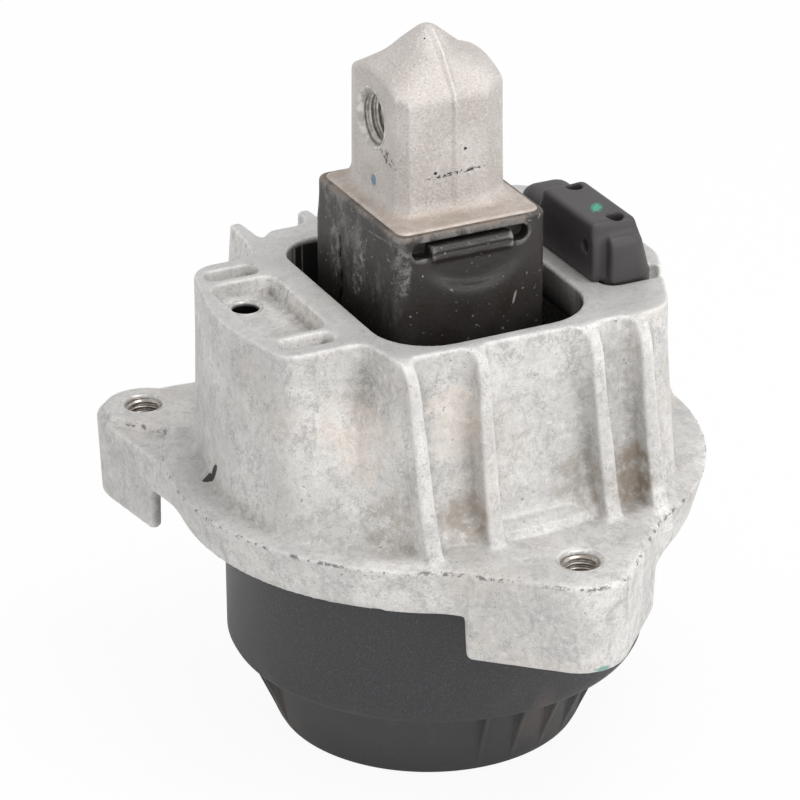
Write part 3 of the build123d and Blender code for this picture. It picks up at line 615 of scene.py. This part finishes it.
# Sandy grey skin, with painted highlights on its edges and painted shade in its corners, tan round the
# plinth, a painted shadow beside the front seam and a few marks and pits.
blasted = Looks("blasted_aluminium", 0.5, 0.35)
sand = blasted.noise(1900.0, 3.0, 0.65)
patch = blasted.noise(90.0, 5.0)
tone = blasted.mix(blasted.ramp(patch, 0.35, 0.68), (0.54, 0.495, 0.465), (0.64, 0.595, 0.565))
tone = blasted.mix(blasted.ramp(sand, 0.5, 0.72, 0, 0.5), tone, (0.86, 0.82, 0.79))
tone = blasted.mix(blasted.ramp(sand, 0.47, 0.3, 0, 0.5), tone, (0.34, 0.31, 0.29))
# Convex edges are lighter: a painted highlight.
tone = blasted.mix(blasted.ramp(blasted.noted("full_near"), 0.47, 0.38, 0, 0.8), tone, (0.84, 0.80, 0.77))
# Inside corners are darker: painted shade.
tone = blasted.mix(blasted.ramp(blasted.noted("full_near"), 0.52, 0.62, 0, 0.6), tone, (0.30, 0.26, 0.235))
in_front = blasted.ramp(blasted.axis("Y"), 0.0, -0.002)
in_front = blasted.times(in_front, blasted.ramp(blasted.axis("Z"), 0.129, 0.130))
beside = blasted.math("ABSOLUTE", blasted.math("ADD", blasted.axis("X"), 0.00065))
shadow = blasted.times(blasted.ramp(beside, 0.0005, 0.0001, 0, 0.25), in_front)
tone = blasted.mix(shadow, tone, (0.28, 0.25, 0.23))
tan = blasted.ramp(blasted.axis("Z"), plinth_z * 0.001 + 0.0022, plinth_z * 0.001 - 0.0002, 0, 0.75)
tan = blasted.times(tan, blasted.ramp(blasted.noise(260.0, 5.0, 0.7), 0.4, 0.6, 0.55, 1.0))
tone = blasted.mix(tan, tone, (0.42, 0.34, 0.275))
smudge = blasted.times(
    blasted.spot((-13.2, -7.3, 139.9), 1.0, 0.9, (1, 3.4, 1.3), (20, 0, 0), 700.0),
    blasted.ramp(blasted.noise(1100.0, 3.0, 0.6, shift=2.0), 0.5, 0.56))
tone = blasted.mix(smudge, tone, (0.10, 0.09, 0.085))
tone = blasted.mix(blasted.spot((-13.3, -0.3, 132.6), 1.25, 0.4), tone, (0.20, 0.30, 0.40))
pits = blasted.times(
    blasted.spot((0.0, -13.4, 136.6), 1.0, 0.5, (7.5, 1.5, 0.45), (0, -3, 0)),
    blasted.ramp(blasted.noise(900.0, 3.0, 0.6), 0.48, 0.56))
tone = blasted.mix(pits, tone, (0.03, 0.03, 0.03))
for place, size in (
        ((2.3, -13.4, 141.8), 0.34), ((-2.1, -2.6, 163.9), 0.22), ((-9.8, -8.5, 156.8), 0.25),
        ((10.9, -13.0, 138.5), 0.4), ((-13.3, 2.6, 152.6), 0.5), ((-4.9, -13.4, 137.3), 0.4)):
    tone = blasted.mix(blasted.spot(place, size, 0.3), tone, (0.03, 0.03, 0.03))
blasted.bump(sand, 0.24, 0.8)
blasted_metal = blasted.finish(tone)
points, faces = skin(head, core_block)
core = piece("threaded_core", points, faces, blasted_metal, "blasted_aluminium", "core")
note(core, "full_near", fullness(head, points, core_block, 1))


def thread(place, along, bore_r, mouth_r, mouth, wall_r, length, pitch, depth):
    """Threaded sleeve. Round the axis and along it, the inner wall's radius is the bore's
    plus a wave that climbs by one pitch a turn, and a cone of the mouth's length in front.
    The outer wall is plain, and both meet at the ends."""
    angle = np.linspace(0, 2 * np.pi, 97)[:-1][:, None]
    runs = np.arange(mouth, length + 0.01, pitch / 10)
    climb = runs[None, :] / pitch - angle / (2 * np.pi)
    wave = np.abs((climb % 1) * 2 - 1)
    inner = bore_r + depth * np.clip(wave * 1.6 - 0.25, 0, 1)
    ends = np.ones_like(angle)
    cone_r = (mouth_r + bore_r + depth) / 2
    r = np.concatenate([mouth_r * ends, cone_r * ends, inner, wall_r * ends, wall_r * ends], 1)
    s = np.concatenate([[0, mouth / 2], runs, [length, 0]])[None, :] * ends
    if along == "z":
        points = np.stack([place[0] + np.cos(angle) * r, place[1] + np.sin(angle) * r, place[2] - s], -1)
    else:
        points = np.stack([place[0] + s, place[1] + np.cos(angle) * r, place[2] + np.sin(angle) * r], -1)
    n, m = r.shape
    i, j = np.meshgrid(np.arange(n), np.arange(m), indexing="ij")
    at = lambda p, q: (p % n) * m + q % m
    faces = np.stack([at(i, j), at(i, j + 1), at(i + 1, j + 1), at(i + 1, j)], -1).reshape(-1, 4)
    return points.reshape(-1, 3), faces if along == "z" else faces[:, ::-1]


cut = Looks("cut_thread", 0.3, 0.6)
tone = cut.mix(cut.ramp(cut.noise(600.0), 0.4, 0.65), (0.52, 0.49, 0.46), (0.78, 0.75, 0.71))
cut_metal = cut.finish(tone)
points, faces = thread(
    (thread_x, thread_y, thread_z), "x", bore_r=5.2, mouth_r=6.7, mouth=1.0, wall_r=7.1,
    length=21.5, pitch=1.75, depth=0.8)
piece("head_thread", points, faces, cut_metal, "blasted_aluminium")


# Rubber spring: black rubber bonded to the core, a square block with a groove across its
# front and a cone under it that runs out to the ring in the housing.
x, y, z = rubber_block = grid(
    [(-48, -20, 1.1), (-20, 20, 0.5), (20, 51.5, 1.1)], [(-50, -26, 1.1), (-26, 21, 0.5), (21, 50, 1.1)],
    [(62, 96, 0.9), (96, 130, 0.5)])
top, front_y, crown_half, crown_depth = plinth_z - 0.5, -22.4, 11.0, 2.4
block = outline_distance(x, y, rounded_outline(
    [(-18.3, 19.4), (-18.3, front_y), (11.5, front_y), (18, -21.2), (18, 19.4)], (3.0, 2.4, 4.0, 2.0, 3.0)))
block = block - 0.5 * np.clip((-17 - x) / 1.5, 0, 1) * np.clip((124 - z) / 6, 0, 1)
block = soft_max(soft_max(block, z - top, 0.8), 78 - z, 1.0)
# The crown bulges from the front face, under the groove.
crown_y = front_y - crown_depth * (1 - (x / crown_half) ** 2)
crown = soft_max(crown_y - y, z - 115.2 - 4.0 * (x / crown_half) ** 2 + (y + 24.0) * 0.7, 3.2)
crown = np.maximum(np.maximum(crown, y + 15), np.maximum(np.abs(x) - 12, 84 - z))
block = soft_min(block, crown, 2.2)
spring = turned_distance(np.hypot(x - barrel_x, y), z, [
    (0, 69.0), (14.4, 69.0), (38.3, 66.2), (42.8, 64.0), (46.3, 64.0), (46.3, 66.2), (40.2, 66.8),
    (23.0, 90.8), (0, 90.8)])
block = soft_min(block, spring, 5.0)
groove_z, groove_half, groove_r, groove_depth = 123.9, 12.1, 1.9, 3.4
groove = np.hypot(np.maximum(np.abs(x + 0.7) - groove_half, 0), z - groove_z) - groove_r
block = soft_max(block, -np.maximum(groove, y - front_y - groove_depth), 0.4)
bar = np.hypot(y + 21.2, z - groove_z + 1.2) - 2.2
bar = soft_max(bar, np.maximum(x - 9.3, -10.2 - x), 0.6)
bar = soft_max(bar, 0.35 - np.hypot(y + 23.3, z - groove_z + 0.9), 0.3)
block = soft_min(block, np.maximum(bar, -24.0 - y), 0.4)


def crack_y(height):
    """Where the crack in the left face runs at each height: a line that wanders a little."""
    return 5.4 + 0.4 * np.sin(height * 0.5 + 1) + 0.25 * np.sin(height * 1.3)


crack_z, crack_half = 109, 9
crack = np.maximum(np.abs(y - crack_y(z)) - 0.4, np.maximum(np.abs(z - crack_z) - crack_half, x + 17.8))
block = soft_max(block, -crack, 0.3)

# Black skin: grey on its left face from rubbing and a painted sheen, rubbed grey on its upper edges, with
# brown dust on its top and painted shade, near black, in the crack.
rubber_looks = Looks("spring_rubber", 0.46)
scuffs = rubber_looks.noise(150.0, 8.0, 0.75, (1, 1, 0.6))
dust = rubber_looks.noise(900.0, 3.0, 0.5, shift=2.0)
height = rubber_looks.axis("Z")
edge = rubber_looks.ramp(rubber_looks.noted("full_near"), 0.47, 0.38)
left_side = rubber_looks.ramp(rubber_looks.axis("X"), -0.0155, -0.0178)
high_up = rubber_looks.ramp(height, 0.104, 0.124)
tone = rubber_looks.mix(rubber_looks.noise(60.0), (0.018, 0.015, 0.013), (0.032, 0.026, 0.023))
# The left face high up is grey: rubbed wear with a painted sheen.
rubbed_and_sheen = rubber_looks.times(rubber_looks.times(left_side, high_up), rubber_looks.ramp(scuffs, 0.46, 0.66))
tone = rubber_looks.mix(rubber_looks.times(rubbed_and_sheen, 0.8), tone, (0.24, 0.23, 0.22))
worn = rubber_looks.times(rubber_looks.times(edge, high_up), rubber_looks.ramp(scuffs, 0.4, 0.58, 0.1, 0.75))
tone = rubber_looks.mix(worn, tone, (0.30, 0.285, 0.27))
brown = rubber_looks.ramp(height, 0.1266, 0.1276)
brown = rubber_looks.times(brown, rubber_looks.ramp(scuffs, 0.42, 0.6, 0.2, 0.8))
tone = rubber_looks.mix(brown, tone, (0.20, 0.155, 0.12))
dusty = rubber_looks.times(rubber_looks.ramp(dust, 0.66, 0.72, 0, 0.7), rubber_looks.ramp(height, 0.09, 0.11))
tone = rubber_looks.mix(dusty, tone, (0.34, 0.33, 0.32))
broken = rubber_looks.ramp(rubber_looks.noise(420.0, 7.0, 0.8, shift=4.0), 0.46, 0.6)
for place, size, shape, turned, amount, colour in (
        ((-18.6, 8.0, 114.0), 1.0, (1.5, 2.6, 6.5), (-4, 0, 0), 0.6, (0.30, 0.29, 0.28)),
        ((-18.6, -4.0, 114.5), 1.0, (1.5, 2.6, 6.5), (14, 0, 0), 0.75, (0.34, 0.33, 0.32)),
        ((-18.0, -9.0, 124.6), 1.0, (1.5, 11.5, 0.25), (-5.5, 0, 0), 0.7, (0.30, 0.29, 0.28)),
        ((-16.8, -21.6, 120.0), 1.0, (1.8, 1.8, 5.5), (0, 0, 0), 0.7, (0.28, 0.27, 0.26)),
        ((9.3, -22.8, 109.4), 1.0, (0.4, 1.2, 1.5), (0, 16, 0), 0.9, (0.36, 0.35, 0.33))):
    share = rubber_looks.times(rubber_looks.spot(place, size, 0.7, shape, turned, 500.0), amount)
    if amount < 0.8:
        share = rubber_looks.times(share, broken)
    tone = rubber_looks.mix(share, tone, colour)
# Painted shade, near black, inside the crack in the left face.
tone = rubber_looks.mix(rubber_looks.noted("crack_shade"), tone, (0.003, 0.003, 0.003))
rubber_looks.bump(rubber_looks.noise(900.0, 4.0), 0.14, 0.6)
spring_rubber = rubber_looks.finish(tone, rubber_looks.ramp(scuffs, 0.3, 0.7, 0.36, 0.6))
points, faces = skin(block, rubber_block)
rubber = piece("rubber_block", points, faces, spring_rubber, "spring_rubber", "rubber_spring")
note(rubber, "full_near", fullness(block, points, rubber_block, 1))
# Points along the crack are marked for its painted shade.
off = np.abs(points[:, 1] - crack_y(points[:, 2]))
in_crack = (points[:, 0] < -17) & (np.abs(points[:, 2] - crack_z) < crack_half)
note(rubber, "crack_shade", np.clip(1.4 - off / 0.5, 0, 0.9) * in_crack)


# Stop buffer: a grey rubber moulding with two feet, pushed into slots in the housing's top. Its
# right face leans, and small blind holes are moulded in its top and its left face.
x, y, z = buffer_block = grid([(26, 46.5, 0.45)], [(-28, 15.5, 0.45)], [(102, 123.5, 0.45)])
lean, left_x, right_x, pin_r, side_pin_r = np.tan(np.radians(15.0)), 28.7, 43.3, 1.9, 1.5
side = outline_distance(y, z, rounded_outline(
    [(-25.4, top_z), (-25.3, 118.7), (-22.9, 119.3), (-22.3, 122.3), (0.9, 122.3), (1.6, 119.5),
     (12.4, 119.6), (13.0, top_z)], (0.4, 2.4, 0.8, 1.2, 1.2, 1.0, 3.6, 0.4)))
round_r = 1.4 + 2.4 * np.clip(np.abs(y + 10.5) - 11.8, 0, 1)
stop = soft_max(side, left_x - x, round_r)
stop = soft_max(stop, x - right_x + (z - top_z) * lean, round_r)
notch = np.maximum(np.maximum(x - 32.1, y + 23.0), -30 - y)
stop = soft_max(stop, -notch, 0.9)
for middle in (-21.9, 9.0):
    plug = outline_distance(x, y, rounded_outline(
        [(31.6, middle + 3.1), (31.6, middle - 3.1), (43.2, middle - 3.1), (43.2, middle + 3.1)], 2.8))
    stop = soft_min(stop, soft_max(np.maximum(plug, z - 110), foot_slot_z - z, 0.6), 0.4)
for middle in (-20.0, -1.4):
    pin = np.maximum(np.hypot(x - 35.7, y - middle) - pin_r, 116.3 - z)
    stop = soft_max(stop, -pin, 0.4)
pin = np.maximum(np.hypot(y + 19.0, z - 116.1) - side_pin_r, x - 31.9)
stop = soft_max(stop, -pin, 0.4)
buffer_looks = Looks("buffer_rubber", 0.5)
tone = buffer_looks.mix(buffer_looks.noise(300.0), (0.048, 0.044, 0.044), (0.069, 0.064, 0.064))
green_dot = buffer_looks.spot((34.3, -14.3, 122.3), 1.0, 1.2, (1.0, 2.0, 1.0), (0, 0, -35), 1400.0)
tone = buffer_looks.mix(green_dot, tone, (0.05, 0.35, 0.22))
buffer_looks.bump(buffer_looks.noise(1600.0, 3.0), 0.08, 0.4)
buffer_rubber = buffer_looks.finish(tone)
points, faces = skin(stop, buffer_block)
piece("stop_buffer_block", points, faces, buffer_rubber, "buffer_rubber", "stop_buffer")


# Cup: black glass-filled plastic, moulded in one piece. Three groups of five fins stand on its
# bowl under a ledge, and the rim of its straight barrel is held inside the housing.
def cup_surface():
    """Closed pot. Round the axis and along its section, the radius is the section's, and
    under the ledge each fin adds its own height over a narrow band of angles."""
    fin_half, fin_gap, ledge_z = 1.35, 13.0, 19.7
    angle = np.linspace(0, 2 * np.pi, 1081)[:-1][:, None]
    outer = np.array([
        (0, 0.0), (20, 0.0), (33.6, 0.0), (35.0, 0.5), (35.6, 1.6), (36.2, 3.0), (36.9, 5.5), (37.6, 8.0),
        (38.3, 10.5), (39.0, 13.0), (39.6, 15.5), (40.1, 17.4), (40.4, 18.6), (40.9, 19.4), (41.8, 19.7),
        (44.8, 19.7), (46.4, 19.8), (47.3, 20.4), (47.8, 21.4), (47.8, 23.0), (47.8, 30), (47.8, 40),
        (47.8, 50), (47.8, 56.2), (52.4, 56.2), (52.4, 58.2), (45.2, 58.2), (45.2, 40), (45.2, 23.0),
        (38.7, 22.3), (33.8, 3.0), (15, 3.0), (0, 3.0)])
    r0, z0 = outer[:, 0][None, :], outer[:, 1][None, :]
    shift = np.interp(z0, (17.4, ledge_z), (0.0, barrel_x)) * (r0 > 0)
    fins = np.zeros_like(angle)
    for middle in (-72.0, 155.0, 41.5):
        for k in range(-2, 3):
            off = (np.degrees(angle) - middle - k * fin_gap + 180) % 360 - 180
            fins = np.maximum(fins, np.clip((fin_half - np.abs(off)) / 0.5, 0, 1))
    under_ledge = (r0 > 35) & (z0 > 2.4) & (z0 < 19.5) & (np.arange(r0.size) < 20)
    fin_r = np.interp(z0, (2.4, ledge_z), (35.9, 43.6)) * under_ledge
    r = r0 + np.maximum(fin_r - r0, 0) * fins
    points = np.stack([r * np.cos(angle) + shift, r * np.sin(angle), z0 + 0 * angle], -1)
    n, m = r.shape
    i, j = np.meshgrid(np.arange(n), np.arange(m - 1), indexing="ij")
    at = lambda p, q: (p % n) * m + q
    faces = np.stack([at(i, j), at(i + 1, j), at(i + 1, j + 1), at(i, j + 1)], -1).reshape(-1, 4)
    return points.reshape(-1, 3), faces


cup_looks = Looks("cup_plastic", 0.42)
speck = cup_looks.noise(2800.0, 2.0, 0.5)
tone = cup_looks.mix(cup_looks.ramp(speck, 0.5, 0.68), (0.034, 0.034, 0.037), (0.062, 0.061, 0.065))
tone = cup_looks.mix(cup_looks.ramp(cup_looks.axis("Z"), 0.024, 0.016, 0, 0.5), tone, (0.080, 0.077, 0.079))
dust = cup_looks.ramp(cup_looks.noise(70.0, 4.0), 0.5, 0.7)
dust = cup_looks.times(dust, cup_looks.ramp(cup_looks.axis("Z"), 0.034, 0.018, 0, 0.35))
tone = cup_looks.mix(dust, tone, (0.13, 0.10, 0.08))
cup_looks.bump(speck, 0.08, 0.5)
cup_plastic = cup_looks.finish(tone)
points, faces = cup_surface()
cup = piece("cup_shell", points, faces, cup_plastic, "cup_plastic", "cup")
merge = cup.modifiers.new("close", "WELD")
merge.merge_threshold = 0.00001


# Rims of the tapped lug holes and of the locating hole: edges machined in the housing's own
# aluminium. They are bright at the mouth, and the shade down each hole is painted near black below it.
lug_rim_z, pan_rim_z = lug_z + 0.02, pan_z + 0.03
rims = [
    thread((*place, lug_rim_z), "z", bore_r=4.14, mouth_r=4.9, mouth=0.7, wall_r=5.3,
           length=18.5, pitch=3.0, depth=0.0)
    for place in lug_places]
rims.append(thread(
    (*locating_place, pan_rim_z), "z", bore_r=3.0, mouth_r=3.35, mouth=0.35, wall_r=3.9,
    length=12.4, pitch=3.0, depth=0.0))
points = np.concatenate([r[0] for r in rims])
shift = np.cumsum([0] + [len(r[0]) for r in rims])
faces = np.concatenate([r[1] + k for r, k in zip(rims, shift)])
bored = Looks("bored_aluminium", 0.4, 0.5)
tone = bored.mix(bored.ramp(bored.noise(900.0), 0.4, 0.7), (0.55, 0.54, 0.53), (0.74, 0.72, 0.70))
# Painted shade: near black below the mouth of each hole.
tone = bored.mix(bored.ramp(bored.noted("hole_shade_depth"), 0.3, 1.2), tone, (0.010, 0.009, 0.009))
rims = piece("hole_rims", points, faces, bored.finish(tone), "cast_aluminium")
# Depth below each hole's mouth, for its painted shade.
note(rims, "hole_shade_depth", np.where(points[:, 2] > 80, pan_rim_z, lug_rim_z) - points[:, 2])


# Thread inserts: coils of bright steel wire of diamond section, wound into the tapped lug
# holes. Each starts a little below its lug's face, and its turns make the inner thread.
wire = Looks("insert_wire", 0.3, 0.85)
tone = wire.mix(wire.ramp(wire.noise(700.0), 0.4, 0.65), (0.40, 0.36, 0.32), (0.66, 0.62, 0.57))
wire_metal = wire.finish(tone)
insert_sink = 0.6
sleeves = [
    thread((*place, lug_z - insert_sink), "z", bore_r=3.4, mouth_r=4.0, mouth=0.3, wall_r=4.12,
           length=16.0, pitch=1.25, depth=0.6)
    for place in lug_places]
count = len(sleeves[0][0])
points = np.concatenate([s[0] for s in sleeves])
faces = np.concatenate([s[1] + k * count for k, s in enumerate(sleeves)])
piece("lug_wire_inserts", points, faces, wire_metal, "insert_steel", "lug_thread_inserts")


# Pieces inside the housing: steel spring ring, two plastic channel plates, the loose rubber
# disc between them and the rubber diaphragm. They keep their CAD shapes.
def inner_looks(name, low_tone, high_tone, roughness, metallic, scale):
    """Two tones mixed by fine noise, with a faint bump."""
    looks = Looks(name, roughness, metallic)
    looks.bump(looks.noise(scale * 3, 3.0), 0.05, 0.4)
    return looks.finish(looks.mix(looks.ramp(looks.noise(scale), 0.35, 0.65), low_tone, high_tone))


ring_steel = inner_looks("ring_steel", (0.36, 0.36, 0.36), (0.5, 0.5, 0.5), 0.4, 0.8, 300.0)
upper_plastic = inner_looks("plate_plastic_upper", (0.11, 0.11, 0.12), (0.15, 0.15, 0.16), 0.5, 0.0, 500.0)
lower_plastic = inner_looks("plate_plastic_lower", (0.10, 0.10, 0.11), (0.14, 0.14, 0.15), 0.5, 0.0, 500.0)
disc_rubber = inner_looks("disc_rubber", (0.03, 0.03, 0.03), (0.05, 0.05, 0.05), 0.6, 0.0, 400.0)
bellows_rubber = inner_looks("diaphragm_rubber", (0.03, 0.03, 0.03), (0.045, 0.045, 0.045), 0.6, 0.0, 400.0)
for node, material in (
        ("spring_ring", ring_steel), ("upper_channel_plate", upper_plastic),
        ("lower_channel_plate", lower_plastic), ("decoupler_disc", disc_rubber),
        ("rolling_diaphragm", bellows_rubber)):
    data = nodes[node].data
    data.materials.clear()
    data.materials.append(material)
